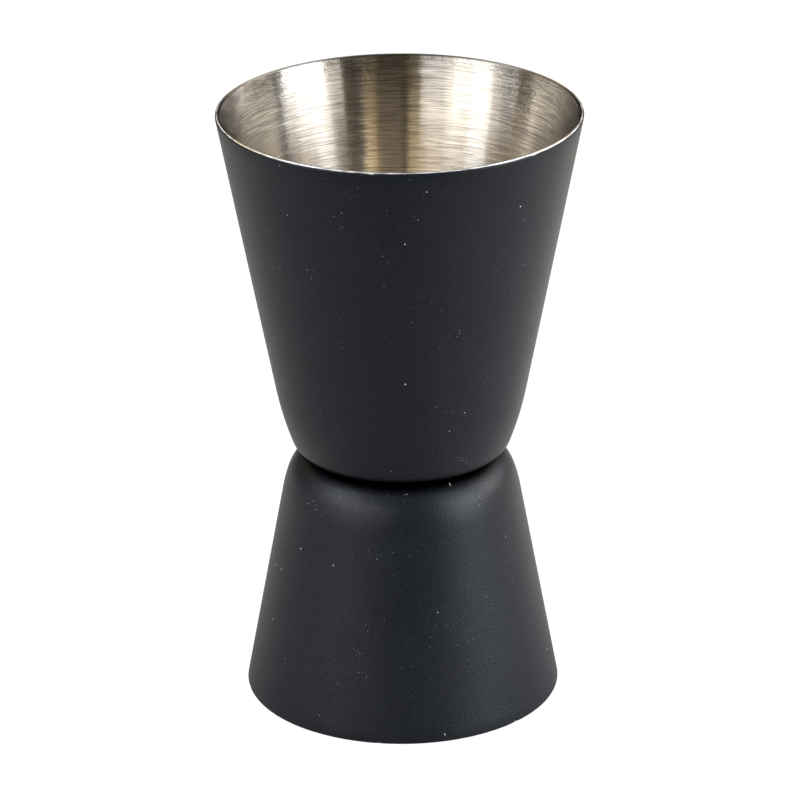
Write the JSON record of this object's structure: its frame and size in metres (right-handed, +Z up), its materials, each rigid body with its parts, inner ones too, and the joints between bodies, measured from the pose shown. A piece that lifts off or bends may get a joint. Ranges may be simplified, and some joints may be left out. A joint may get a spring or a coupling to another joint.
{
  "type": "bar jigger",
  "caption": "Hourglass spirit measure: a large and a small tapered steel cup joined base to base, matte black outside, bare brushed steel inside and on both rims.",
  "frame": {"origin": "centre of the small cup's rim, in the plane that the jigger stands on", "axes": "+Z up the jigger's axis, out of the large cup's mouth; X and Y are any two directions across it, because the shape is round"},
  "size_m": [0.0472, 0.0472, 0.08],
  "materials": {
    "brushed_steel": "turned and brushed round the axis, bare, with a fine orange-peel texture near the mouth",
    "black_powder_coat": "matte black powder coat, a thin cured polymer layer",
    "weld_metal": "dull fused metal, hidden between the bases"
  },
  "bodies": {
    "root": {"large_cup": "brushed_steel", "large_cup_coating": "black_powder_coat", "small_cup": "brushed_steel", "small_cup_coating": "black_powder_coat", "spot_weld_1": "weld_metal", "spot_weld_2": "weld_metal", "spot_weld_3": "weld_metal"}
  },
  "joints": []
}
